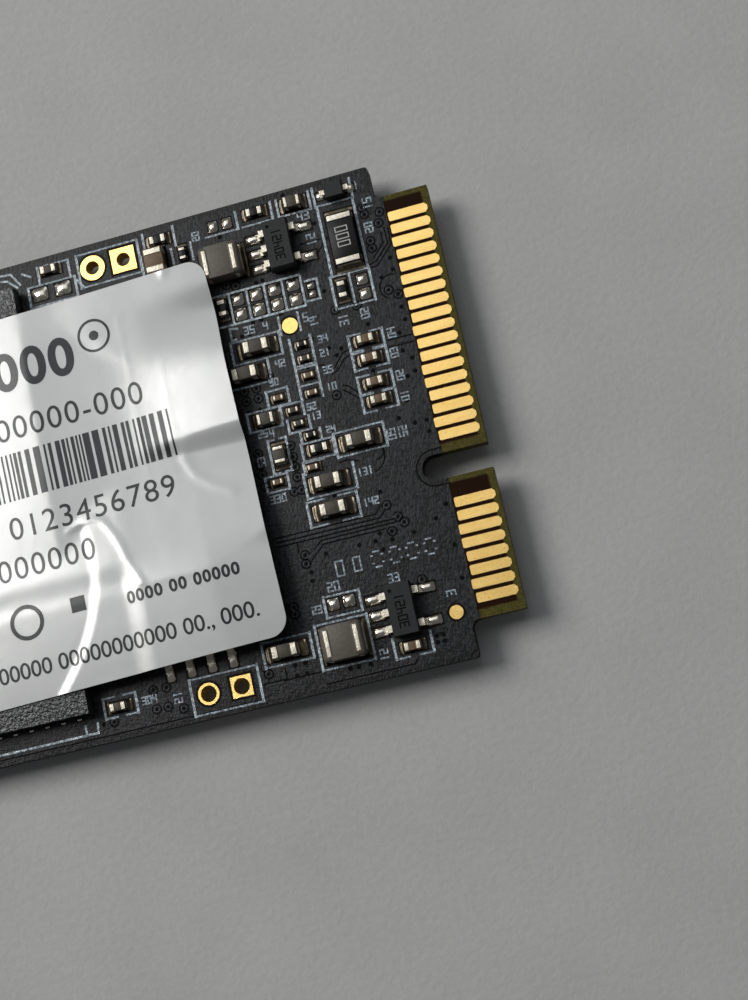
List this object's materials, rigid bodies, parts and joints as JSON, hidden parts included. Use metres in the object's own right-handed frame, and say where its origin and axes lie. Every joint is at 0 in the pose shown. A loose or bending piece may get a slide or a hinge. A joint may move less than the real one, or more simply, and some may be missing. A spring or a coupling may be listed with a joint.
{
  "type": "solid state drive card",
  "caption": "Bare solid state drive card with an edge connector, key notch, screw holes at the far end, memory packages and a label draped over them.",
  "frame": {"origin": "under the centre of the card's outline, on the plane of the underside memory packages' faces", "axes": "+X towards the edge connector, +Y across the card away from the short contact row, +Z out of the labelled face"},
  "size_m": [0.0508, 0.0298, 0.0038],
  "materials": {
    "laminate": "glass-fibre laminate, olive at the bare tongue",
    "solder_mask": "charcoal, satin",
    "gold_plating": "thin gold plating on copper",
    "tinned_metal": "tin-plated leads and terminals",
    "mould_compound": "matte black epoxy, lightly textured",
    "package_substrate": "dark green laminate",
    "ferrite": "matte taupe grey",
    "capacitor_ceramic": "matte brown",
    "resistor_glaze": "black glaze",
    "label_film": "glossy silver film"
  },
  "bodies": {
    "root": {"capacitor_core_a": "capacitor_ceramic", "capacitor_core_b": "capacitor_ceramic", "capacitor_core_c": "capacitor_ceramic", "capacitor_core_d": "capacitor_ceramic", "capacitor_edge_a": "capacitor_ceramic", "capacitor_edge_b": "capacitor_ceramic", "capacitor_edge_c": "capacitor_ceramic", "capacitor_input_north": "capacitor_ceramic", "capacitor_output_north": "capacitor_ceramic", "capacitor_output_south": "capacitor_ceramic", "capacitor_underside_a": "capacitor_ceramic", "capacitor_underside_b": "capacitor_ceramic", "circuit_board": "laminate", "contacts_bottom_long": "gold_plating", "contacts_bottom_short": "gold_plating", "contacts_top_long": "gold_plating", "contacts_top_short": "gold_plating", "controller_mould_cap": "mould_compound", "controller_substrate": "package_substrate", "diode_body": "mould_compound", "diode_lead_frame": "tinned_metal", "dram_mould_cap": "mould_compound", "dram_substrate": "package_substrate", "fiducial_corner": "gold_plating", "fiducial_middle": "gold_plating", "flash_body": "mould_compound", "flash_lead_frame": "tinned_metal", "header_ring_north": "gold_plating", "header_ring_south": "gold_plating", "header_square_north": "gold_plating", "header_square_south": "gold_plating", "inductor_north_body": "ferrite", "inductor_north_cap_east": "tinned_metal", "inductor_north_cap_west": "tinned_metal", "inductor_south_body": "ferrite", "inductor_south_cap_east": "tinned_metal", "inductor_south_cap_west": "tinned_metal", "jumper_body": "resistor_glaze", "jumper_cap_north": "tinned_metal", "jumper_cap_south": "tinned_metal", "label": "label_film", "memory_bottom_north_mould_cap": "mould_compound", "memory_bottom_north_substrate": "package_substrate", "memory_bottom_south_mould_cap": "mould_compound", "memory_bottom_south_substrate": "package_substrate", "memory_top_north_mould_cap": "mould_compound", "memory_top_north_substrate": "package_substrate", "memory_top_south_mould_cap": "mould_compound", "memory_top_south_substrate": "package_substrate", "regulator_north_body": "mould_compound", "regulator_north_lead_frame": "tinned_metal", "regulator_south_body": "mould_compound", "regulator_south_lead_frame": "tinned_metal", "screw_pad_north": "tinned_metal", "screw_pad_south": "tinned_metal", "solder_mask_bottom": "solder_mask", "solder_mask_top": "solder_mask"}
  },
  "joints": []
}
